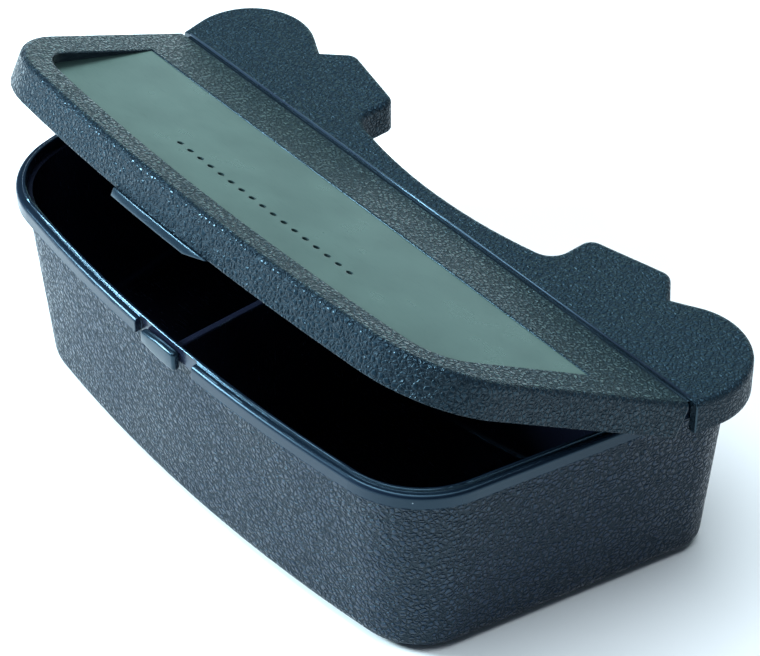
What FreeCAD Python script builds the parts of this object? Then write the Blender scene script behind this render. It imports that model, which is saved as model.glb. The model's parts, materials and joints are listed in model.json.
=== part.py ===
"""Hinged bait station: a tub with a rim, a fixed rear deck, a vented lid and the web that hinges it.

Every sub-part is drawn with the lid shut, in a frame whose origin is the hinge axis: +X along
the hinge, -Y towards the front and +Z up.  The Placement of each body then lifts it to its
height above the ground, and turns the lid's own pieces up to the angle the lid rests at.
"""
import FreeCAD, Part
import math
import os
import Sketcher

DOC = FreeCAD.newDocument("BaitStation")
SHEET = DOC.addObject("Spreadsheet::Sheet", "Sizes")

DRIVING_SIZES = {
    # whole object
    "total_height": 63.8,
    "hinge_to_origin": 28.6,
    "lid_open_angle": 28.3,
    # plan outline shared by the tub, the deck and the lid
    "front_radius": 500.0,
    "front_depth": 87.6,
    "corner_radius": 30.0,
    "corner_x": 64.6,
    "lobe_radius": 19.1,
    "lobe_x": 88.2,
    "lobe_y": 11.5,
    "bucket_radius": 160.0,
    # skirted shells: the lid and the deck
    "skirt_height": 9.9,
    "lid_wall": 1.8,
    "deck_wall": 2.2,
    "top_rounding": 1.6,
    "skirt_rounding": 0.5,
    # hinge: the web lies in a groove between the lid and the deck
    "groove_half": 1.1,
    "web_drop": 0.9,
    "web_thickness": 0.5,
    "web_clearance": 0.1,
    "web_end_inset": 4.5,
    "groove_rounding": 0.4,
    # tub
    "rim_drop": 2.2,
    "rim_inset": 3.0,
    "rim_step_inset": 5.9,
    "rim_step_depth": 3.2,
    "band_height": 5.0,
    "wall_inset": 5.4,
    "wall_draft": 4.2,
    "wall_thickness": 1.8,
    "base_rounding": 5.0,
    "rim_rounding": 1.2,
    "lip_inset": 4.9,
    "lip_height": 0.7,
    "lip_rounding": 0.35,
    # front catch on the tub, in a gap of the rim band
    "gap_left": -12.4,
    "gap_right": 11.6,
    "gap_inset": 5.0,
    "catch_left": -10.0,
    "catch_right": 4.4,
    "catch_top_drop": 3.7,
    "catch_bottom_drop": 9.5,
    "catch_inset": 2.6,
    # latch strip under the lid's front skirt
    "latch_left": -22.0,
    "latch_right": 8.5,
    "latch_ramp_end": 16.3,
    "latch_drop": 2.3,
    "latch_proud": 0.5,
    "latch_wall": 1.7,
    # smooth recessed panel with the vent row
    "panel_front_border": 9.4,
    "panel_corner_radius": 14.0,
    "panel_side_border": 10.7,
    "panel_back_y": 24.5,
    "panel_back_recess": 0.3,
    "panel_front_recess": 4.0,
    "panel_thickness": 1.2,
    "panel_ring": 1.6,
    "panel_rounding": 0.4,
    "vent_count": 17.0,
    "vent_pitch": 4.35,
    "vent_diameter": 1.8,
    "vent_row_y": 57.5,
    # hooks of the deck that reach over a bucket's rim
    "tab_inner_x": 40.2,
    "tab_inner_y": 25.8,
    "tab_back_slope": 13.5,
    "tab_foot_x": 87.4,
    "tab_side_lean": 45.0,
    "tab_root_y": 9.0,
    "tab_corner_radius": 4.0,
    "tab_root_radius": 6.0,
    # divider between the two compartments
    "divider_thickness": 2.2,
    "divider_top_drop": 3.4,
    "divider_rounding": 0.5,
}


def fill_sheet():
    for row, (alias, value) in enumerate(DRIVING_SIZES.items(), start=1):
        SHEET.set("A%d" % row, alias)
        SHEET.set("B%d" % row, str(value))
        SHEET.setAlias("B%d" % row, alias)
    DOC.recompute()


fill_sheet()

# Heights in the hinge frame, as expressions over the sheet.
TOP = "Sizes.web_drop"
SKIRT_BOTTOM = "Sizes.web_drop - Sizes.skirt_height"
RIM_TOP = "Sizes.web_drop - Sizes.rim_drop"
BASE = "Sizes.web_drop - Sizes.total_height"
FRONT_CENTRE_Y = "Sizes.front_radius - Sizes.front_depth"
BACK_CENTRE_Y = ("Sizes.lobe_y"
                 " + sqrt((Sizes.bucket_radius + Sizes.lobe_radius) ^ 2 - Sizes.lobe_x ^ 2)")
CORNER_CENTRE_Y = ("Sizes.front_radius - Sizes.front_depth"
                   " - sqrt((Sizes.front_radius - Sizes.corner_radius) ^ 2 - Sizes.corner_x ^ 2)")

PANEL_SLOPE = ("((Sizes.panel_front_recess - Sizes.panel_back_recess)"
               " / (Sizes.front_depth - Sizes.panel_front_border - Sizes.panel_back_y))")

START, END, CENTRE = 1, 2, 3
Y_AXIS, ROOT = -2, -1
TOLERANCE = 1e-4


def value_of(expression):
    """Number that an expression over the sheet gives, in millimetres or degrees."""
    result = SHEET.evalExpression(expression)
    return float(getattr(result, "Value", result))


def new_body(label, swings=False):
    """Body in the hinge frame, placed on its hinge line and turned up when it is part of the lid."""
    body = DOC.addObject("PartDesign::Body", label)
    body.Label = label
    turn = FreeCAD.Rotation(FreeCAD.Vector(-1, 0, 0), value_of("Sizes.lid_open_angle") if swings else 0)
    body.Placement = FreeCAD.Placement(FreeCAD.Vector(0, 0, 0), turn)
    body.setExpression("Placement.Base.y", "Sizes.hinge_to_origin")
    body.setExpression("Placement.Base.z", "Sizes.total_height - Sizes.web_drop")
    if swings:
        body.setExpression("Placement.Rotation.Angle", "Sizes.lid_open_angle")
    return body


def origin_plane(body, role):
    return next(plane for plane in body.Origin.OriginFeatures if plane.Role == role)


def new_sketch(body, name, level="0", role="XY_Plane"):
    sketch = body.newObject("Sketcher::SketchObject", body.Label + "_" + name)
    sketch.AttachmentSupport = (origin_plane(body, role), [""])
    sketch.MapMode = "FlatFace"
    sketch.setExpression("AttachmentOffset.Base.z", level)
    return sketch


def dimension(sketch, name, expression, kind, *references):
    index = sketch.addConstraint(Sketcher.Constraint(kind, *references, value_of(expression)))
    sketch.renameConstraint(index, name)
    sketch.setExpression("Constraints." + name, expression)


def arc(centre, radius, start_angle, end_angle):
    circle = Part.Circle(FreeCAD.Vector(centre[0], centre[1], 0), FreeCAD.Vector(0, 0, 1), radius)
    return Part.ArcOfCircle(circle, start_angle, end_angle)


def join_tangent(sketch, joints):
    for first, first_end, second, second_end in joints:
        sketch.addConstraint(Sketcher.Constraint("Tangent", first, first_end, second, second_end))


def line_between(first_arc, first_at_end, second_arc, second_at_end):
    ends = [shape.EndPoint if at_end else shape.StartPoint
            for shape, at_end in ((first_arc, first_at_end), (second_arc, second_at_end))]
    return Part.LineSegment(*ends)


def side_normal_angle():
    """Direction in which the right-hand side faces: it is tangent to its corner and its lobe."""
    across = value_of("Sizes.lobe_x - Sizes.corner_x")
    along = value_of("Sizes.lobe_y") - value_of(CORNER_CENTRE_Y)
    lean = math.asin(value_of("Sizes.corner_radius - Sizes.lobe_radius") / math.hypot(across, along))
    return math.atan2(along, across) + lean - math.pi / 2


def add_outline(sketch, inset):
    """Draw the whole plan outline, `inset` inside the edge that the lid and the deck share.

    Going round: the gently bowed front, a corner, a tapering side, the lobe at the end of the
    deck, and the hollow back that fits a bucket.  All centres stay put as the inset grows.
    """
    shrink = value_of(inset)
    front_radius = value_of("Sizes.front_radius") - shrink
    corner_radius = value_of("Sizes.corner_radius") - shrink
    lobe_radius = value_of("Sizes.lobe_radius") - shrink
    back_radius = value_of("Sizes.bucket_radius") + shrink
    front_y = value_of(FRONT_CENTRE_Y)
    corner_x = value_of("Sizes.corner_x")
    corner_y = value_of(CORNER_CENTRE_Y)
    lobe_x = value_of("Sizes.lobe_x")
    lobe_y = value_of("Sizes.lobe_y")
    back_y = value_of(BACK_CENTRE_Y)
    side_normal = side_normal_angle()
    front_end = math.atan2(corner_y - front_y, corner_x)
    back_end = math.atan2(back_y - lobe_y, -lobe_x)

    front = arc((0, front_y), front_radius, -math.pi - front_end, front_end)
    corner = arc((corner_x, corner_y), corner_radius, front_end, side_normal)
    lobe = arc((lobe_x, lobe_y), lobe_radius, side_normal, back_end)
    back = arc((0, back_y), back_radius, -back_end, back_end - math.pi)
    left_lobe = arc((-lobe_x, lobe_y), lobe_radius, math.pi - back_end, math.pi - side_normal)
    left_corner = arc((-corner_x, corner_y), corner_radius, math.pi - side_normal, math.pi - front_end)
    first = sketch.GeometryCount
    sketch.addGeometry([
        front, corner, line_between(corner, True, lobe, False), lobe, back,
        left_lobe, line_between(left_lobe, True, left_corner, False), left_corner])
    front, corner, side, lobe, back, left_lobe, left_side, left_corner = range(first, first + 8)
    join_tangent(sketch, [
        (front, END, corner, START), (corner, END, side, START), (side, END, lobe, START),
        (lobe, END, back, END), (back, START, left_lobe, START), (left_lobe, END, left_side, START),
        (left_side, END, left_corner, START), (left_corner, END, front, START)])
    for on_axis in (front, back):
        sketch.addConstraint(Sketcher.Constraint("PointOnObject", on_axis, CENTRE, Y_AXIS))
    for right, left in ((corner, left_corner), (lobe, left_lobe)):
        sketch.addConstraint(Sketcher.Constraint("Equal", right, left))
    mark = "_%d" % first
    dimension(sketch, "front" + mark, "Sizes.front_radius - (%s)" % inset, "Radius", front)
    dimension(sketch, "corner" + mark, "Sizes.corner_radius - (%s)" % inset, "Radius", corner)
    dimension(sketch, "lobe" + mark, "Sizes.lobe_radius - (%s)" % inset, "Radius", lobe)
    dimension(sketch, "back" + mark, "Sizes.bucket_radius + (%s)" % inset, "Radius", back)
    dimension(sketch, "front_centre" + mark, FRONT_CENTRE_Y, "DistanceY", ROOT, START, front, CENTRE)
    dimension(sketch, "corner_right" + mark, "Sizes.corner_x", "DistanceX", ROOT, START, corner, CENTRE)
    dimension(sketch, "corner_left" + mark, "Sizes.corner_x", "DistanceX", left_corner, CENTRE, ROOT, START)
    dimension(sketch, "lobe_right" + mark, "Sizes.lobe_x", "DistanceX", ROOT, START, lobe, CENTRE)
    dimension(sketch, "lobe_left" + mark, "Sizes.lobe_x", "DistanceX", left_lobe, CENTRE, ROOT, START)
    dimension(sketch, "lobe_height" + mark, "Sizes.lobe_y", "DistanceY", ROOT, START, lobe, CENTRE)


def outline_sketch(body, name, level, *insets):
    """Sketch of one outline, or of two to make a ring."""
    sketch = new_sketch(body, name, level)
    for inset in insets:
        add_outline(sketch, inset)
    return sketch


def rectangle_sketch(body, name, level, left, right, low, high):
    """Rectangle whose four sides are given as expressions for x = left, right and y = low, high."""
    sketch = new_sketch(body, name, level)
    x0, x1, y0, y1 = (value_of(side) for side in (left, right, low, high))
    corners = [FreeCAD.Vector(x, y, 0) for x, y in ((x0, y0), (x1, y0), (x1, y1), (x0, y1))]
    for index, corner in enumerate(corners):
        sketch.addGeometry(Part.LineSegment(corner, corners[(index + 1) % 4]))
    for index in range(4):
        sketch.addConstraint(Sketcher.Constraint("Coincident", index, END, (index + 1) % 4, START))
    for index, kind in enumerate(("Horizontal", "Vertical", "Horizontal", "Vertical")):
        sketch.addConstraint(Sketcher.Constraint(kind, index))
    dimension(sketch, "left", left, "DistanceX", ROOT, START, 0, START)
    dimension(sketch, "right", right, "DistanceX", ROOT, START, 1, START)
    dimension(sketch, "low", low, "DistanceY", ROOT, START, 0, START)
    dimension(sketch, "high", high, "DistanceY", ROOT, START, 2, START)
    return sketch


def strip_sketch(body, name, level, left, right, outer_inset, inner_inset):
    """Strip of the front edge between x = left and x = right, following the front's curve."""
    sketch = new_sketch(body, name, level)
    centre_y = value_of(FRONT_CENTRE_Y)
    outer = value_of("Sizes.front_radius") - value_of(outer_inset)
    inner = value_of("Sizes.front_radius") - value_of(inner_inset)
    x0, x1 = value_of(left), value_of(right)
    arcs = [arc((0, centre_y), radius, -math.acos(x0 / radius), -math.acos(x1 / radius))
            for radius in (outer, inner)]
    sketch.addGeometry([arcs[0], line_between(arcs[0], True, arcs[1], True), arcs[1],
                        line_between(arcs[1], False, arcs[0], False)])
    for first, first_end, second, second_end in (
            (0, END, 1, START), (1, END, 2, END), (2, START, 3, START), (3, END, 0, START)):
        sketch.addConstraint(Sketcher.Constraint("Coincident", first, first_end, second, second_end))
    for line_index in (1, 3):
        sketch.addConstraint(Sketcher.Constraint("Vertical", line_index))
    sketch.addConstraint(Sketcher.Constraint("Coincident", 0, CENTRE, 2, CENTRE))
    sketch.addConstraint(Sketcher.Constraint("PointOnObject", 0, CENTRE, Y_AXIS))
    dimension(sketch, "centre", FRONT_CENTRE_Y, "DistanceY", ROOT, START, 0, CENTRE)
    dimension(sketch, "outer", "Sizes.front_radius - (%s)" % outer_inset, "Radius", 0)
    dimension(sketch, "inner", "Sizes.front_radius - (%s)" % inner_inset, "Radius", 2)
    dimension(sketch, "left", left, "DistanceX", ROOT, START, 0, START)
    dimension(sketch, "right", right, "DistanceX", ROOT, START, 0, END)
    return sketch


def panel_sketch(body, name, level, grow):
    """Outline of the recessed panel, grown outwards by `grow`.

    It keeps a border along the lid's front and sides, so its sides are tangent to the circles of
    the lid's corners and lobes, each drawn smaller by that border.
    """
    sketch = new_sketch(body, name, level)
    grown = value_of(grow)
    centre_y = value_of(FRONT_CENTRE_Y)
    front_radius = value_of("Sizes.front_radius - Sizes.panel_front_border") + grown
    corner_radius = value_of("Sizes.panel_corner_radius") + grown
    border = value_of("Sizes.panel_side_border") - grown
    back_y = grown - value_of("Sizes.panel_back_y")
    guides = [("corner", value_of("Sizes.corner_x"), value_of(CORNER_CENTRE_Y),
               value_of("Sizes.corner_radius") - border),
              ("lobe", value_of("Sizes.lobe_x"), value_of("Sizes.lobe_y"),
               value_of("Sizes.lobe_radius") - border)]
    normal = side_normal_angle()
    side = FreeCAD.Vector(math.cos(normal), math.sin(normal), 0)
    side_offset = side.x * guides[0][1] + side.y * guides[0][2] + guides[0][3]
    # The corner's centre lies its radius inside the side and inside the front.
    across = side_offset - corner_radius - side.y * centre_y
    along = -math.sqrt((front_radius - corner_radius) ** 2 - across ** 2)
    corner_x = across * side.x - along * side.y
    corner_y = centre_y + across * side.y + along * side.x
    front_end = math.atan2(corner_y - centre_y, corner_x)
    back_x = (side_offset - side.y * back_y) / side.x

    front = arc((0, centre_y), front_radius, -math.pi - front_end, front_end)
    corner = arc((corner_x, corner_y), corner_radius, front_end, normal)
    left_corner = arc((-corner_x, corner_y), corner_radius, math.pi - normal, math.pi - front_end)
    back_right = FreeCAD.Vector(back_x, back_y, 0)
    back_left = FreeCAD.Vector(-back_x, back_y, 0)
    sketch.addGeometry([
        front, corner, Part.LineSegment(corner.EndPoint, back_right),
        Part.LineSegment(back_right, back_left), Part.LineSegment(back_left, left_corner.StartPoint),
        left_corner])
    join_tangent(sketch, [(0, END, 1, START), (1, END, 2, START), (4, END, 5, START), (5, END, 0, START)])
    for first, second in ((2, 3), (3, 4)):
        sketch.addConstraint(Sketcher.Constraint("Coincident", first, END, second, START))
    sketch.addConstraint(Sketcher.Constraint("Horizontal", 3))
    sketch.addConstraint(Sketcher.Constraint("PointOnObject", 0, CENTRE, Y_AXIS))
    sketch.addConstraint(Sketcher.Constraint("Equal", 1, 5))
    dimension(sketch, "centre", FRONT_CENTRE_Y, "DistanceY", ROOT, START, 0, CENTRE)
    dimension(sketch, "front", "Sizes.front_radius - Sizes.panel_front_border + (%s)" % grow, "Radius", 0)
    dimension(sketch, "corner", "Sizes.panel_corner_radius + (%s)" % grow, "Radius", 1)
    dimension(sketch, "back", "Sizes.panel_back_y - (%s)" % grow, "DistanceY", 3, START, ROOT, START)
    for line_index, mirror in ((2, 1), (4, -1)):
        for kind, x, y, radius in guides:
            circle = Part.Circle(FreeCAD.Vector(mirror * x, y, 0), FreeCAD.Vector(0, 0, 1), radius)
            index = sketch.addGeometry(circle, True)
            guide = "%s_guide_%d" % (kind, line_index)
            ends = (ROOT, START, index, CENTRE) if mirror > 0 else (index, CENTRE, ROOT, START)
            dimension(sketch, guide + "_x", "Sizes.%s_x" % kind, "DistanceX", *ends)
            height = CORNER_CENTRE_Y if kind == "corner" else "Sizes.lobe_y"
            dimension(sketch, guide + "_y", height, "DistanceY", ROOT, START, index, CENTRE)
            dimension(sketch, guide, "Sizes.%s_radius - Sizes.panel_side_border + (%s)" % (kind, grow),
                      "Radius", index)
            sketch.addConstraint(Sketcher.Constraint("Tangent", line_index, index))
    return sketch


def polygon_sketch(body, name, level, role, corners):
    """Polygon whose corners are pairs of expressions along the sketch's own two directions."""
    sketch = new_sketch(body, name, level, role)
    points = [FreeCAD.Vector(value_of(across), value_of(along), 0) for across, along in corners]
    count = len(corners)
    for index, point in enumerate(points):
        sketch.addGeometry(Part.LineSegment(point, points[(index + 1) % count]))
    for index, (across, along) in enumerate(corners):
        sketch.addConstraint(Sketcher.Constraint("Coincident", index, END, (index + 1) % count, START))
        dimension(sketch, "across_%d" % index, across, "DistanceX", ROOT, START, index, START)
        dimension(sketch, "along_%d" % index, along, "DistanceY", ROOT, START, index, START)
    return sketch


def tab_corners(inset):
    """Plan corners of the right-hand hook tab: the two at its foot, the outer and the inner one.

    Its back edge slopes away from the middle and its outer side leans.
    """
    inner = "Sizes.tab_inner_x + (%s)" % inset
    foot = "Sizes.tab_foot_x - (%s) / cos(Sizes.tab_side_lean * 1 deg)" % inset
    rise = "tan(Sizes.tab_back_slope * 1 deg)"
    lean = "tan(Sizes.tab_side_lean * 1 deg)"
    start = ("Sizes.tab_inner_y - %s * Sizes.tab_inner_x - (%s) / cos(Sizes.tab_back_slope * 1 deg)"
             % (rise, inset))
    outer = "(%s - %s * (%s - Sizes.tab_root_y)) / (1 + %s * %s)" % (foot, lean, start, lean, rise)
    return [(inner, "Sizes.tab_root_y"), (foot, "Sizes.tab_root_y"),
            (outer, "%s + %s * %s" % (start, rise, outer)), (inner, "%s + %s * (%s)" % (start, rise, inner))]


def tab_sketch(body, name, inset, level, side):
    corners = tab_corners(inset)
    if side < 0:
        corners = [("0 - (%s)" % x, y) for x, y in corners]
    return polygon_sketch(body, name, level, "XY_Plane", corners)


def extrude(body, kind, sketch, length, along_normal):
    """Pad or Pocket of one sketch, along its normal or against it, that must change the volume."""
    before = body.Shape.Volume if body.Tip else 0.0
    feature = body.newObject("PartDesign::" + kind, sketch.Name + "_" + kind.lower())
    feature.Profile = sketch
    feature.setExpression("Length", length)
    feature.Reversed = along_normal if kind == "Pocket" else not along_normal
    DOC.recompute()
    change = body.Shape.Volume - before
    if (change >= 0) if kind == "Pocket" else (change <= 0):
        raise RuntimeError("%s changes nothing" % feature.Name)
    return feature


def pad(body, sketch, length, along_normal=True):
    return extrude(body, "Pad", sketch, length, along_normal)


def pocket(body, sketch, length, along_normal=False):
    return extrude(body, "Pocket", sketch, length, along_normal)


def draft_sides(body, name, angle, neutral_level):
    """Lean every upright face of the tip inwards by `angle` below the level face it keeps."""
    base = body.Tip
    faces = list(enumerate(base.Shape.Faces, start=1))
    upright = ["Face%d" % number for number, face in faces if face.BoundBox.ZLength > TOLERANCE]
    neutral = next("Face%d" % number for number, face in faces if level_shape(face, neutral_level))
    feature = body.newObject("PartDesign::Draft", body.Label + "_" + name)
    feature.Base = (base, upright)
    feature.NeutralPlane = (base, [neutral])
    feature.Reversed = True
    feature.setExpression("Angle", angle)
    DOC.recompute()
    return feature


def hollow(body, name, wall, open_level):
    """Shell the tip to one wall thickness, open at the face on this level."""
    base = body.Tip
    opening = next("Face%d" % number for number, face in enumerate(base.Shape.Faces, start=1)
                   if level_shape(face, open_level))
    feature = body.newObject("PartDesign::Thickness", body.Label + "_" + name)
    feature.Base = (base, [opening])
    feature.Reversed = True
    feature.setExpression("Value", wall)
    DOC.recompute()
    return feature


def round_edges(body, name, radius, chosen):
    """Fillet the edges of the body's tip for which chosen(edge) is true."""
    base = body.Tip
    edges = ["Edge%d" % number for number, edge in enumerate(base.Shape.Edges, start=1) if chosen(edge)]
    if not edges:
        raise RuntimeError("no edges to round for " + name)
    feature = body.newObject("PartDesign::Fillet", body.Label + "_" + name)
    feature.Base = (base, edges)
    feature.setExpression("Radius", radius)
    DOC.recompute()
    return feature


def level_shape(shape, level):
    """Whether the whole edge or face lies at this height."""
    box = shape.BoundBox
    return abs(box.ZMin - level) < TOLERANCE and abs(box.ZMax - level) < TOLERANCE


def upright_edge_at(edge, x, y):
    """Whether the edge is upright and stands at (x, y) or (-x, y) in plan."""
    box = edge.BoundBox
    upright = box.XLength < TOLERANCE and box.YLength < TOLERANCE
    return upright and math.hypot(abs(box.XMin) - x, box.YMin - y) < 100 * TOLERANCE


def groove_edge(edge, level, y):
    """Whether the edge is the straight one along the hinge groove."""
    box = edge.BoundBox
    return level_shape(edge, level) and abs(box.YMin - y) < TOLERANCE and abs(box.YMax - y) < TOLERANCE


def cut_away(body, name, low, high):
    """Remove everything between y = low and y = high."""
    sketch = rectangle_sketch(body, name, TOP, "0 - Sizes.bucket_radius", "Sizes.bucket_radius", low, high)
    pocket(body, sketch, "Sizes.skirt_height")


def make_tub():
    body = new_body("tub")
    block = outline_sketch(body, "walls", RIM_TOP, "Sizes.wall_inset")
    pad(body, block, "Sizes.total_height - Sizes.rim_drop", along_normal=False)
    rim = value_of(RIM_TOP)
    draft_sides(body, "draft", "Sizes.wall_draft", rim)
    base = value_of(BASE)
    round_edges(body, "foot", "Sizes.base_rounding", lambda edge: level_shape(edge, base))
    hollow(body, "well", "Sizes.wall_thickness", rim)
    band = outline_sketch(body, "band", RIM_TOP, "Sizes.rim_inset", "Sizes.rim_step_inset")
    pad(body, band, "Sizes.band_height", along_normal=False)
    step = outline_sketch(body, "rim_step", RIM_TOP, "Sizes.rim_step_inset")
    pocket(body, step, "Sizes.rim_step_depth")
    pocket(body, outline_sketch(body, "shoulder", RIM_TOP, "0", "Sizes.lip_inset"), "Sizes.lip_height")
    shoulder = rim - value_of("Sizes.lip_height")
    band_side = value_of("Sizes.band_height - Sizes.lip_height")
    outer_edges = [edge for face in body.Tip.Shape.Faces
                   if abs(face.BoundBox.ZLength - band_side) < TOLERANCE
                   for edge in face.Edges if level_shape(edge, shoulder)]
    round_edges(body, "rim", "Sizes.rim_rounding",
                lambda edge: any(edge.isSame(outer) for outer in outer_edges))
    round_edges(body, "lip", "Sizes.lip_rounding", lambda edge: level_shape(edge, rim))
    gap = strip_sketch(body, "band_gap", RIM_TOP, "Sizes.gap_left", "Sizes.gap_right",
                       "0 - Sizes.rim_inset", "Sizes.gap_inset")
    pocket(body, gap, "Sizes.band_height")
    return body


def make_catch():
    body = new_body("tub_catch")
    bottom = "Sizes.web_drop - Sizes.catch_bottom_drop"
    strip = strip_sketch(body, "bar", bottom, "Sizes.catch_left", "Sizes.catch_right",
                         "Sizes.catch_inset", "Sizes.gap_inset")
    pad(body, strip, "Sizes.catch_bottom_drop - Sizes.catch_top_drop")
    return body


def make_divider():
    """Upright plate across the middle, cut to the slope of the tub's front and back walls."""
    body = new_body("centre_divider")
    low = "%s + Sizes.wall_thickness" % BASE
    high = "%s - Sizes.divider_top_drop" % RIM_TOP
    skin = "Sizes.wall_inset + Sizes.wall_thickness / cos(Sizes.wall_draft * 1 deg)"
    lean = "tan(Sizes.wall_draft * 1 deg) * (%s - (%s))"
    front = "0 - Sizes.front_depth + %s + %s" % (skin, lean)
    back = "%s - Sizes.bucket_radius - (%s) - %s" % (BACK_CENTRE_Y, skin, lean)
    corners = [(front % (RIM_TOP, low), low), (back % (RIM_TOP, low), low),
               (back % (RIM_TOP, high), high), (front % (RIM_TOP, high), high)]
    side = polygon_sketch(body, "side", "0 - Sizes.divider_thickness / 2", "YZ_Plane", corners)
    pad(body, side, "Sizes.divider_thickness")
    floor = value_of(low)
    round_edges(body, "foot", "Sizes.base_rounding - Sizes.wall_thickness",
                lambda edge: level_shape(edge, floor) and edge.BoundBox.YLength < TOLERANCE)
    round_edges(body, "top", "Sizes.divider_rounding",
                lambda edge: level_shape(edge, value_of(high)) and edge.BoundBox.XLength < TOLERANCE)
    return body


def make_deck():
    """Fixed rear part of the top: its back is hollowed to a bucket, with two tabs that hook over."""
    body = new_body("rear_deck")
    pad(body, outline_sketch(body, "slab", TOP, "0"), "Sizes.skirt_height", along_normal=False)
    for side in (-1, 1):
        tab = tab_sketch(body, "tab_left" if side < 0 else "tab_right", "0", TOP, side)
        pad(body, tab, "Sizes.skirt_height", along_normal=False)
    inner_x = value_of("Sizes.tab_inner_x")
    root = (inner_x, value_of(BACK_CENTRE_Y) - math.sqrt(value_of("Sizes.bucket_radius") ** 2 - inner_x ** 2))
    corners = [(value_of(x), value_of(y)) for x, y in tab_corners("0")[2:]]
    for name, radius, spots in (("tab_corners", "Sizes.tab_corner_radius", corners),
                                ("tab_roots", "Sizes.tab_root_radius", [root])):
        round_edges(body, name, radius, lambda edge: any(upright_edge_at(edge, x, y) for x, y in spots))
    cut_away(body, "front", "0 - Sizes.bucket_radius", "Sizes.groove_half")
    top = value_of(TOP)
    groove = value_of("Sizes.groove_half")
    round_edges(body, "top", "Sizes.top_rounding",
                lambda edge: level_shape(edge, top) and edge.BoundBox.YMax > groove + TOLERANCE)
    well = outline_sketch(body, "well", SKIRT_BOTTOM, "Sizes.deck_wall")
    pocket(body, well, "Sizes.skirt_height - Sizes.deck_wall", along_normal=True)
    for side in (-1, 1):
        slot = tab_sketch(body, "slot_left" if side < 0 else "slot_right", "Sizes.deck_wall",
                          SKIRT_BOTTOM, side)
        pocket(body, slot, "Sizes.skirt_height - Sizes.deck_wall", along_normal=True)
    round_edges(body, "groove", "Sizes.groove_rounding", lambda edge: groove_edge(edge, top, groove))
    return body


def make_lid():
    body = new_body("lid", swings=True)
    pad(body, outline_sketch(body, "slab", TOP, "0"), "Sizes.skirt_height", along_normal=False)
    top = value_of(TOP)
    skirt = value_of(SKIRT_BOTTOM)
    round_edges(body, "top", "Sizes.top_rounding", lambda edge: level_shape(edge, top))
    round_edges(body, "skirt", "Sizes.skirt_rounding", lambda edge: level_shape(edge, skirt))
    well = outline_sketch(body, "well", SKIRT_BOTTOM, "Sizes.lid_wall")
    pocket(body, well, "Sizes.skirt_height - Sizes.lid_wall", along_normal=True)
    cut_away(body, "back", "0 - Sizes.groove_half", "Sizes.bucket_radius")
    depth = "Sizes.panel_front_recess + Sizes.panel_thickness"
    ring = panel_sketch(body, "ring", "Sizes.web_drop - (%s)" % depth, "Sizes.panel_ring")
    pad(body, ring, depth + " - Sizes.lid_wall")
    pocket(body, panel_sketch(body, "window", TOP, "0"), depth)
    border = value_of("Sizes.panel_side_border") / 2
    half_width = value_of("Sizes.lobe_x + Sizes.lobe_radius") - border
    front = border - value_of("Sizes.front_depth")
    groove = -value_of("Sizes.groove_half")
    round_edges(body, "window", "Sizes.panel_rounding", lambda edge: level_shape(edge, top)
                and edge.BoundBox.XMax < half_width and front < edge.BoundBox.YMin
                and edge.BoundBox.YMax < groove - TOLERANCE)
    round_edges(body, "groove", "Sizes.groove_rounding", lambda edge: groove_edge(edge, top, groove))
    return body


def panel_level(y, below="0"):
    """Height of the sloping panel's upper face at depth y, lowered by `below`."""
    return ("Sizes.web_drop - Sizes.panel_back_recess - %s * (0 - (%s) - Sizes.panel_back_y) - (%s)"
            % (PANEL_SLOPE, y, below))


def make_vent_panel():
    """Plate that is almost level with the lid's top near the hinge and sinks towards the front."""
    body = new_body("vent_panel", swings=True)
    depth = "Sizes.panel_front_recess + Sizes.panel_thickness"
    pad(body, panel_sketch(body, "plate", TOP, "0"), depth, along_normal=False)
    front = "0 - Sizes.front_depth"
    for name, below, limit in (("above", "0", "Sizes.total_height"),
                               ("below", "Sizes.panel_thickness", "0 - Sizes.total_height")):
        corners = [("0", panel_level("0", below)), (front, panel_level(front, below)), (front, limit),
                   ("0", limit)]
        profile = polygon_sketch(body, name, "0 - Sizes.bucket_radius", "YZ_Plane", corners)
        pocket(body, profile, "2 * Sizes.bucket_radius", along_normal=True)
    sketch = new_sketch(body, "vent", TOP)
    first_x = "0 - Sizes.vent_pitch * (Sizes.vent_count - 1) / 2"
    row_y = "0 - Sizes.vent_row_y"
    centre = FreeCAD.Vector(value_of(first_x), value_of(row_y), 0)
    sketch.addGeometry(Part.Circle(centre, FreeCAD.Vector(0, 0, 1), value_of("Sizes.vent_diameter / 2")))
    dimension(sketch, "radius", "Sizes.vent_diameter / 2", "Radius", 0)
    dimension(sketch, "across", first_x, "DistanceX", ROOT, START, 0, CENTRE)
    dimension(sketch, "along", row_y, "DistanceY", ROOT, START, 0, CENTRE)
    vent = pocket(body, sketch, depth)
    row = body.newObject("PartDesign::LinearPattern", "vent_row")
    row.Originals = [vent]
    row.Direction = (sketch, ["H_Axis"])
    row.setExpression("Length", "Sizes.vent_pitch * (Sizes.vent_count - 1)")
    row.setExpression("Occurrences", "Sizes.vent_count")
    body.Tip = row
    DOC.recompute()
    return body


def make_latch():
    """Strip under the lid's front skirt that grips the tub's catch; its right end ramps up."""
    body = new_body("lid_latch", swings=True)
    strip = strip_sketch(body, "strip", SKIRT_BOTTOM, "Sizes.latch_left", "Sizes.latch_ramp_end",
                         "0 - Sizes.latch_proud", "Sizes.latch_wall")
    pad(body, strip, "Sizes.latch_drop", along_normal=False)
    bottom = "%s - Sizes.latch_drop" % SKIRT_BOTTOM
    beyond = "Sizes.latch_ramp_end + Sizes.latch_proud"
    corners = [("Sizes.latch_right", bottom), (beyond, bottom), (beyond, SKIRT_BOTTOM)]
    ramp = polygon_sketch(body, "ramp", "0", "XZ_Plane", corners)
    pocket(body, ramp, "2 * Sizes.front_depth", along_normal=True)
    return body


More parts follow.
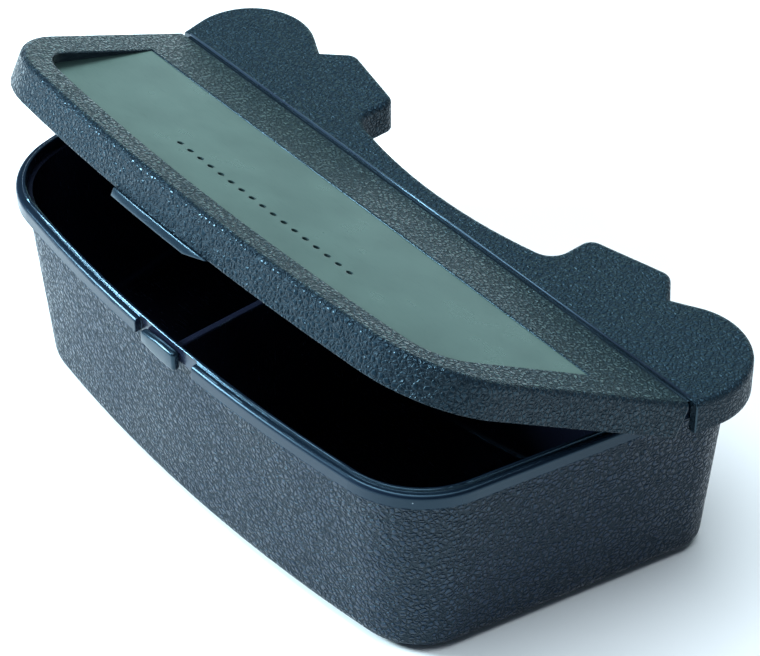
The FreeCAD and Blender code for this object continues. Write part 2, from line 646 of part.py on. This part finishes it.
def make_web():
    """Thin web that bends in the groove; it stays clear of the lid's edge at every angle."""
    body = new_body("living_hinge")
    half = "Sizes.lobe_x + Sizes.lobe_radius - Sizes.web_end_inset"
    strip = rectangle_sketch(body, "strip", "0 - Sizes.web_thickness / 2", "0 - (%s)" % half, half,
                             "Sizes.web_clearance - Sizes.groove_half", "Sizes.groove_half")
    pad(body, strip, "Sizes.web_thickness")
    return body


def main():
    bodies = [make() for make in (make_tub, make_catch, make_divider, make_deck, make_web,
                                  make_lid, make_vent_panel, make_latch)]
    DOC.recompute()
    for item in DOC.Objects:
        if "Invalid" in item.State or "Error" in item.State:
            raise RuntimeError("%s failed: %s" % (item.Name, item.State))
    for body in bodies:
        if body.Shape.isNull() or not body.Shape.isValid() or len(body.Shape.Solids) != 1:
            raise RuntimeError(body.Label + " is not one valid solid")
    os.makedirs("parts", exist_ok=True)
    for body in bodies:
        body.Shape.exportStep(os.path.join("parts", body.Label + ".step"))
        print("%-16s %9.0f mm3" % (body.Label, body.Shape.Volume))


main()
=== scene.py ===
import json
import math

import bmesh
import bpy
from mathutils import Matrix, Vector


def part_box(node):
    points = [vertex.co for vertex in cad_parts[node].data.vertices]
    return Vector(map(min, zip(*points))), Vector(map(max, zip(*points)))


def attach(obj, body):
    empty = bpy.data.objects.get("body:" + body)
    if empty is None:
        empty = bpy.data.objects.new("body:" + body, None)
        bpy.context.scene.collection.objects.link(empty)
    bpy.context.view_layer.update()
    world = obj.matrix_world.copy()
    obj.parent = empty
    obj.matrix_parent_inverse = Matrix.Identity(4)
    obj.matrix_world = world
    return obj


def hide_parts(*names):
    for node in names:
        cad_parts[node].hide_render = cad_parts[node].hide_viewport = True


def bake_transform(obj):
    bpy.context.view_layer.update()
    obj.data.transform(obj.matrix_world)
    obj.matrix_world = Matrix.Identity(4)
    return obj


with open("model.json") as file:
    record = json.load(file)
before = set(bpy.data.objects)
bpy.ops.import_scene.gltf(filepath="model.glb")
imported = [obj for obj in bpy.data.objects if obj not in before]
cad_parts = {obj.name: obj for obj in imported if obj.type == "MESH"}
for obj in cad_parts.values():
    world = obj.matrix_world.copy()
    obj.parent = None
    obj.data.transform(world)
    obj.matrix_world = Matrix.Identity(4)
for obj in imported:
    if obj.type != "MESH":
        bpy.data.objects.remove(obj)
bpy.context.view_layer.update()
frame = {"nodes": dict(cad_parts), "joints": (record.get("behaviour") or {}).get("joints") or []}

# Looks of the hinged bait station: leather-grained and smooth black plastic on the CAD shells, and
# finer pieces for the hinge web, the deck's groove edge, the tub's catch and the lid's latch strip.
# Metres, part frame.


JOINT = frame["joints"][0]
HINGE = Vector(JOINT["pos_m"])
OPEN_ANGLE = -math.radians(JOINT["range_deg"][0])
NODES = frame["nodes"]

TUB_LOW, TUB_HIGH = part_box("tub")
TUB_MIDDLE = (TUB_LOW + TUB_HIGH) / 2
RIM_TOP = TUB_HIGH.z
BAND_HEIGHT = 0.005
LIP_HEIGHT = 0.0007
DECK_LOW, DECK_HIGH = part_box("rear_deck")
DECK_TOP = DECK_HIGH.z
GROOVE_HALF = DECK_LOW.y - HINGE.y
CATCH_LOW, CATCH_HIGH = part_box("tub_catch")

# How far past the catch its notch in the rim band reaches: to the right, to the back and below.
NOTCH_RIGHT = 0.008
NOTCH_BACK = 0.003
NOTCH_BELOW = 0.001

# Camera: where it stands and which way it looks.
CAMERA_PLACE = Vector((0.46872, -0.37110, 0.54261))
CAMERA_AZIMUTH = math.radians(50.48)
CAMERA_ELEVATION = math.radians(40.30)
CAMERA_ROLL = math.radians(-0.23)
CAMERA_LENS = 138.07


# ---------------------------------------------------------------- material nodes

class Graph:
    """One node material, with a short call for each kind of node that the plastics use."""

    def __init__(self, name):
        self.material = bpy.data.materials.new(name)
        self.material.use_nodes = True
        self.tree = self.material.node_tree
        self.shader = self.tree.nodes["Principled BSDF"]
        self.place = self.node("ShaderNodeTexCoord").outputs["Object"]

    def node(self, kind, inputs=None, **settings):
        node = self.tree.nodes.new(kind)
        for name, value in settings.items():
            setattr(node, name, value)
        for key, value in (inputs or {}).items():
            self.set(node.inputs[key], value)
        return node

    def set(self, socket, value):
        if isinstance(value, bpy.types.NodeSocket):
            self.tree.links.new(value, socket)
        else:
            socket.default_value = value

    def math(self, operation, first, second=0.0):
        return self.node("ShaderNodeMath", {0: first, 1: second}, operation=operation).outputs[0]

    def vector_math(self, operation, first, second):
        return self.node("ShaderNodeVectorMath", {0: first, 1: second}, operation=operation).outputs[0]

    def axis(self, vector, name):
        return self.node("ShaderNodeSeparateXYZ", {0: vector}).outputs[name]

    def between(self, value, low, high, to_low=0.0, to_high=1.0):
        """Value mapped smoothly from low..high to to_low..to_high, and held beyond them."""
        inputs = {"Value": value, "From Min": low, "From Max": high, "To Min": to_low, "To Max": to_high}
        return self.node("ShaderNodeMapRange", inputs, interpolation_type="SMOOTHSTEP").outputs["Result"]

    def noise(self, vector, size, detail=2.0, output="Fac"):
        inputs = {"Vector": vector, "Scale": 1.0 / size, "Detail": detail, "Roughness": 0.55}
        return self.node("ShaderNodeTexNoise", inputs).outputs[output]

    def cells(self, vector, size, feature, output="Distance"):
        inputs = {"Vector": vector, "Scale": 1.0 / size}
        return self.node("ShaderNodeTexVoronoi", inputs, feature=feature).outputs[output]

    def mix(self, factor, first, second):
        node = self.node("ShaderNodeMix", data_type="RGBA")
        self.set(node.inputs["Factor"], factor)
        self.set(node.inputs[6], first)
        self.set(node.inputs[7], second)
        return node.outputs[2]

    def bump(self, height, depth, normal):
        inputs = {"Height": height, "Distance": depth, "Strength": 1.0, "Normal": normal}
        return self.node("ShaderNodeBump", inputs).outputs["Normal"]

    def soft_edges(self, radius):
        """Normal that rounds sharp edges over, as the mould leaves them."""
        return self.node("ShaderNodeBevel", {"Radius": radius}, samples=6).outputs["Normal"]


def colour(red, green, blue):
    return (red, green, blue, 1.0)


SHEEN_TINT = colour(0.42, 0.76, 1.0)
GRAIN_SHEEN_LEVEL = 0.36
GRAIN_EDGE_RADIUS = 0.0005
GRAIN_DUST = 0.012
SMOOTH_EDGE_RADIUS = 0.0004
RIPPLE = 0.00001
BAND_ROUGHNESS = 0.24
BAND_SHADE = (0.005, 0.010, 0.021)


def finish_shader(graph, painted, polish, height, relief, edge_radius, level):
    """Connect colour, roughness and relief to the shader, with the sheen that all the plastics share."""
    graph.set(graph.shader.inputs["Base Color"], painted)
    graph.set(graph.shader.inputs["Roughness"], polish)
    graph.set(graph.shader.inputs["Normal"], graph.bump(height, relief, graph.soft_edges(edge_radius)))
    graph.shader.inputs["Specular IOR Level"].default_value = level
    graph.shader.inputs["Specular Tint"].default_value = SHEEN_TINT
    return graph.material


def leather_grain(graph, cell):
    """Rounded pebbles with wandering creases: a mask that is 1 on the pebbles, and the height."""
    wander = graph.noise(graph.place, 1.6 * cell, detail=2.0, output="Color")
    offset = graph.vector_math("SCALE", graph.vector_math("SUBTRACT", wander, (0.5, 0.5, 0.5)), (0, 0, 0))
    offset.node.inputs["Scale"].default_value = 1.3 * cell
    bent = graph.vector_math("ADD", graph.place, offset)
    edge = graph.cells(bent, cell, "DISTANCE_TO_EDGE")
    pebble = graph.between(edge, 0.02, 0.24)
    dome = graph.math("SUBTRACT", 1.0, graph.math("POWER", graph.cells(bent, cell, "F1"), 2.0))
    swell = graph.noise(graph.place, 1.9 * cell, detail=1.0)
    fine = graph.noise(graph.place, 0.3 * cell, detail=2.0)
    height = graph.math("MULTIPLY", pebble, 1.05)
    for layer, share in ((dome, 0.50), (swell, 0.50), (fine, 0.10)):
        height = graph.math("ADD", height, graph.math("MULTIPLY", layer, share))
    return pebble, height


def specks(graph, spacing, radius):
    """Sparse pale specks of dust, as a mask."""
    distance = graph.cells(graph.place, spacing, "F1")
    chance = graph.axis(graph.cells(graph.place, spacing, "F1", output="Color"), "X")
    near = graph.between(distance, 0.5 * radius / spacing, radius / spacing, 1.0, 0.0)
    return graph.math("MULTIPLY", near, graph.math("GREATER_THAN", chance, 0.72))


def grained_plastic(name, cell, relief, top, painted_crease_shade, rough, smooth_mask=None):
    """Black plastic with moulded leather grain and painted shade in its creases; smooth_mask(graph) is 1
    where the mould was smooth.
    """
    graph = Graph(name)
    pebble, height = leather_grain(graph, cell)
    patches = graph.noise(graph.place, 0.03, detail=3.0)
    pale = graph.mix(graph.between(patches, 0.3, 0.7), colour(*(0.8 * c for c in top)), colour(*top))
    # The creases get a darker colour than the pebbles: painted shade in the grain's creases, on top of the
    # bump's relief.
    painted = graph.mix(pebble, colour(*painted_crease_shade), pale)
    polish = graph.math("ADD", graph.between(pebble, 0.0, 1.0, rough + 0.30, rough),
                        graph.between(patches, 0.3, 0.7, -0.04, 0.04))
    if smooth_mask:
        mask = smooth_mask(graph)
        grained = graph.math("SUBTRACT", 1.0, mask)
        painted = graph.mix(mask, painted, colour(*BAND_SHADE))
        polish = graph.math("ADD", graph.math("MULTIPLY", polish, grained),
                            graph.math("MULTIPLY", mask, BAND_ROUGHNESS))
        height = graph.math("MULTIPLY", height, grained)
    painted = graph.mix(specks(graph, GRAIN_DUST, 0.00022), painted, colour(0.45, 0.52, 0.58))
    return finish_shader(graph, painted, polish, height, relief, GRAIN_EDGE_RADIUS, GRAIN_SHEEN_LEVEL)


def smooth_plastic(name, shade, rough, dust=0.0, level=0.5):
    """Black plastic from a polished mould: flow ripples, hairline scuffs, and dust specks `dust` apart."""
    graph = Graph(name)
    flow = graph.noise(graph.place, 0.018, detail=3.0)
    stretched = graph.vector_math("MULTIPLY", graph.place, (1.0, 14.0, 1.0))
    scuff = graph.between(graph.noise(stretched, 0.004, detail=3.0), 0.60, 0.68)
    painted = graph.mix(graph.between(flow, 0.3, 0.7), colour(*(0.85 * c for c in shade)), colour(*shade))
    if dust:
        painted = graph.mix(specks(graph, dust, 0.00025), painted, colour(0.55, 0.62, 0.6))
    polish = graph.math("ADD", graph.between(flow, 0.3, 0.7, rough - 0.03, rough + 0.03),
                        graph.math("MULTIPLY", scuff, 0.06))
    fine = graph.noise(graph.place, 0.0016, detail=2.0)
    height = graph.math("ADD", flow, graph.math("MULTIPLY", fine, 0.12))
    return finish_shader(graph, painted, polish, height, RIPPLE, SMOOTH_EDGE_RADIUS, level)


# ---------------------------------------------------------------- finishes of each piece

def rim_band_mask(graph):
    """The tub's rim band, which the grain leaves smooth."""
    return graph.between(graph.axis(graph.place, "Z"), RIM_TOP - BAND_HEIGHT - 0.0004,
                         RIM_TOP - BAND_HEIGHT + 0.0004)


# Colours of the pebbles and of the creases; the darker crease colours are painted shade in the grain's
# creases.
TUB_TOP = (0.005, 0.011, 0.031)
TUB_PAINTED_CREASE_SHADE = (0.001, 0.002, 0.006)
DECK_SHADE = (0.008, 0.018, 0.028)
DECK_PAINTED_CREASE_SHADE = (0.002, 0.004, 0.008)

TUB_PLASTIC = grained_plastic("tub_grain", 0.00150, 0.00036, TUB_TOP, TUB_PAINTED_CREASE_SHADE, 0.26, rim_band_mask)
LID_PLASTIC = grained_plastic("lid_grain", 0.00130, 0.00036, DECK_SHADE, DECK_PAINTED_CREASE_SHADE, 0.24)
DECK_PLASTIC = grained_plastic("deck_grain", 0.00120, 0.00026, DECK_SHADE, DECK_PAINTED_CREASE_SHADE, 0.32)
PANEL_PLASTIC = smooth_plastic("panel_satin", (0.009, 0.018, 0.015), 0.30, dust=0.022)
INNER_PLASTIC = smooth_plastic("inner_gloss", (0.010, 0.012, 0.026), 0.22)
EDGE_PLASTIC = smooth_plastic("edge_gloss", (0.006, 0.012, 0.018), 0.16)
LIP_PLASTIC = smooth_plastic("lip_gloss", (0.006, 0.012, 0.022), 0.15, level=1.0)
# The groove edge's colour is lighter than the deck's plastic: a painted highlight along the edge, on top of
# its real gloss.
GROOVE_GLOSS_AND_PAINTED_HIGHLIGHT = smooth_plastic("groove_gloss_and_painted_highlight", (0.020, 0.030, 0.050), 0.27, level=1.0)
CATCH_PLASTIC = smooth_plastic("catch_gloss", (0.008, 0.016, 0.026), 0.22)


def dress(node_name, finishes, pick=None):
    """Give one CAD node its finishes; pick(face) is the number of each face's finish."""
    mesh = NODES[node_name].data
    mesh.materials.clear()
    for finish in finishes:
        mesh.materials.append(finish)
    for face in mesh.polygons:
        face.material_index = int(pick(face)) if pick else 0


OUTSIDE, INSIDE, LIP = 0, 1, 2
LEVEL_FACE = 0.9      # a face whose normal's upright part is larger than this is level
LONG_SIDE_SHARE = 0.4  # weight of x against y, because the part is longer than it is deep
LID_MIDDLE_Y = -0.045


def tub_finish(face):
    """Finish of a tub face: the lip, the catch's notch and the well differ from the outside."""
    place, normal = face.center, face.normal
    if place.z > RIM_TOP - LIP_HEIGHT - 0.0001:
        return LIP
    in_notch = (CATCH_LOW.x < place.x < CATCH_HIGH.x + NOTCH_RIGHT
                and place.y < CATCH_HIGH.y + NOTCH_BACK and place.z > CATCH_LOW.z - NOTCH_BELOW)
    if in_notch:
        return INSIDE
    if place.z > RIM_TOP - 0.0012:
        return OUTSIDE
    if abs(normal.z) > LEVEL_FACE:
        return INSIDE if normal.z > 0 else OUTSIDE
    out = place - TUB_MIDDLE
    looks_in = LONG_SIDE_SHARE * out.x * normal.x + out.y * normal.y < 0
    return INSIDE if looks_in else OUTSIDE


def is_deck_inside(face):
    """The deck's underside, inside its skirt, and the wall of the hinge groove."""
    if face.center.z > DECK_TOP - 0.0008 or face.normal.z > 0.3:
        return False
    at_groove = face.center.y - HINGE.y < GROOVE_HALF + 0.0005
    return at_groove or face.normal.z < -LEVEL_FACE


def is_lid_inside(face):
    """The lid's underside, the inside of its skirt and its edge along the hinge, judged with it shut."""
    turn = Matrix.Rotation(OPEN_ANGLE, 3, "X")
    place = turn @ (face.center - HINGE)
    normal = turn @ face.normal
    if normal.z < -LEVEL_FACE or place.y > -GROOVE_HALF - 0.0005:
        return True
    out = Vector((LONG_SIDE_SHARE * place.x, place.y - LID_MIDDLE_Y, 0))
    return abs(normal.z) < 0.4 and out.dot(normal) < 0


def dress_nodes():
    dress("tub", (TUB_PLASTIC, INNER_PLASTIC, LIP_PLASTIC), tub_finish)
    dress("rear_deck", (DECK_PLASTIC, EDGE_PLASTIC), is_deck_inside)
    dress("lid", (LID_PLASTIC, EDGE_PLASTIC), is_lid_inside)
    dress("vent_panel", (PANEL_PLASTIC,))
    dress("centre_divider", (INNER_PLASTIC,))


# ---------------------------------------------------------------- catch and latch strip

def add_object(name, mesh, material):
    """Object of this material in the scene, made from a bmesh that it frees."""
    data = bpy.data.meshes.new(name)
    mesh.to_mesh(data)
    mesh.free()
    data.materials.clear()
    data.materials.append(material)
    thing = bpy.data.objects.new(name, data)
    bpy.context.scene.collection.objects.link(thing)
    return thing


def softened(node_name, piece_name, radius, body, shift=None):
    """Copy of a CAD node with its sharp edges rounded, moved vertex by vertex by shift(place)."""
    mesh = bmesh.new()
    mesh.from_mesh(NODES[node_name].data)
    bmesh.ops.remove_doubles(mesh, verts=mesh.verts, dist=1e-6)
    bmesh.ops.dissolve_limit(mesh, angle_limit=math.radians(0.3), verts=mesh.verts, edges=mesh.edges)
    if shift:
        for vertex in mesh.verts:
            vertex.co += shift(vertex.co)
    sharp = [edge for edge in mesh.edges if edge.is_manifold and edge.calc_face_angle() > math.radians(25)]
    bmesh.ops.bevel(mesh, geom=sharp, offset=radius, segments=4, profile=0.5, affect="EDGES",
                    clamp_overlap=True)
    for face in mesh.faces:
        face.smooth = True
    piece = add_object(piece_name, mesh, CATCH_PLASTIC)
    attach(piece, body)
    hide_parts(node_name)


def make_catch():
    """The bar in the rim's front notch, which narrows towards the band at its left end."""
    middle = (CATCH_LOW + CATCH_HIGH) / 2

    def narrowed(place):
        share = max(0.0, (middle.x - place.x) / (middle.x - CATCH_LOW.x))
        return Vector((0, 0, -0.35 * share * (place.z - middle.z)))

    softened("tub_catch", "catch_bar", 0.0009, "base", narrowed)


def make_latch():
    """The strip under the lid's front edge."""
    softened("lid_latch", "latch_strip", 0.0004, "lid")


# ---------------------------------------------------------------- the bending web

def make_web():
    """Thin strip between the deck and the lid, in place of the CAD web."""
    low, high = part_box("living_hinge")
    rows = 12
    mesh = bmesh.new()
    lines = []
    for top in (True, False):
        for row in range(rows + 1):
            share = row / rows
            y = high.y + (low.y - high.y) * share
            dip = 0.00012 * math.sin(math.pi * share)
            z = (high.z - dip) if top else (low.z + dip)
            lines.append([mesh.verts.new((x, y, z)) for x in (low.x, high.x)])
    upper, under = lines[:rows + 1], lines[:rows:-1]
    loop = upper + under
    for index, line in enumerate(loop):
        after = loop[(index + 1) % len(loop)]
        mesh.faces.new((line[0], line[1], after[1], after[0]))
    for end in (0, 1):
        mesh.faces.new([line[end] for line in (loop if end == 0 else reversed(loop))])
    bmesh.ops.recalc_face_normals(mesh, faces=mesh.faces)
    web = add_object("hinge_web", mesh, EDGE_PLASTIC)
    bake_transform(web)
    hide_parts("living_hinge")


def make_groove_edge():
    """The deck's polished, rounded edge along the hinge groove, coloured lighter than the deck as a painted
    highlight.
    """
    low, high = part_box("living_hinge")
    radius = 0.00035
    centre = Vector((0, HINGE.y + GROOVE_HALF + 0.9 * radius, DECK_TOP - 0.5 * radius))
    sides = 16
    mesh = bmesh.new()
    turns = [2 * math.pi * index / sides for index in range(sides)]
    round_section = [(centre.y + radius * math.cos(turn), centre.z + radius * math.sin(turn))
                     for turn in turns]
    rings = [[mesh.verts.new((x, y, z)) for y, z in round_section] for x in (low.x, high.x)]
    for index in range(sides):
        after = (index + 1) % sides
        mesh.faces.new((rings[0][index], rings[0][after], rings[1][after], rings[1][index])).smooth = True
    for ring in rings:
        mesh.faces.new(ring)
    bmesh.ops.recalc_face_normals(mesh, faces=mesh.faces)
    edge = add_object("groove_edge", mesh, GROOVE_GLOSS_AND_PAINTED_HIGHLIGHT)
    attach(edge, "base")


# ---------------------------------------------------------------- camera, light and floor

def make_camera():
    data = bpy.data.cameras.new("camera")
    data.lens = CAMERA_LENS
    data.sensor_width = 36.0
    camera = bpy.data.objects.new("camera", data)
    bpy.context.scene.collection.objects.link(camera)
    aim = (Matrix.Rotation(CAMERA_AZIMUTH, 4, "Z") @ Matrix.Rotation(math.pi / 2 - CAMERA_ELEVATION, 4, "X")
           @ Matrix.Rotation(CAMERA_ROLL, 4, "Z"))
    camera.matrix_world = Matrix.Translation(CAMERA_PLACE) @ aim
    bpy.context.scene.camera = camera


def make_floor():
    """Wide disc of plain pale paper, just under the part."""
    graph = Graph("floor_paper")
    mottle = graph.noise(graph.place, 0.4, detail=3.0)
    graph.set(graph.shader.inputs["Base Color"],
              graph.mix(mottle, colour(0.86, 0.865, 0.87), colour(0.90, 0.905, 0.91)))
    graph.shader.inputs["Roughness"].default_value = 0.9
    mesh = bmesh.new()
    bmesh.ops.create_circle(mesh, cap_ends=True, segments=96, radius=6.0)
    floor = add_object("floor", mesh, graph.material)
    floor.location.z = -0.0002


def make_light(name, place, size, power, tint, aim=(0, 0, 0.05)):
    data = bpy.data.lights.new(name, "AREA")
    data.shape = "RECTANGLE"
    data.size, data.size_y = size
    data.energy = power
    data.color = tint
    light = bpy.data.objects.new(name, data)
    light.location = place
    light.rotation_euler = (Vector(place) - Vector(aim)).to_track_quat("Z", "Y").to_euler()
    bpy.context.scene.collection.objects.link(light)


def make_world():
    world = bpy.data.worlds.new("studio")
    world.use_nodes = True
    background = world.node_tree.nodes["Background"]
    background.inputs["Color"].default_value = colour(0.60, 0.80, 1.0)
    background.inputs["Strength"].default_value = 0.12
    bpy.context.scene.world = world


def make_studio():
    make_world()
    make_floor()
    make_light("key", (-0.50, -0.52, 0.45), (0.22, 0.22), 16.0, (0.72, 0.92, 1.0))
    make_light("overhead", (0.0, 0.0, 1.1), (1.0, 1.0), 20.0, (0.82, 0.93, 1.0))
    make_light("card", (-0.85, 1.15, 0.15), (1.2, 0.5), 3.9, (0.60, 1.0, 0.90))
    bpy.context.scene.view_settings.view_transform = "Standard"


dress_nodes()
make_catch()
make_latch()
make_web()
make_groove_edge()
make_camera()
make_studio()
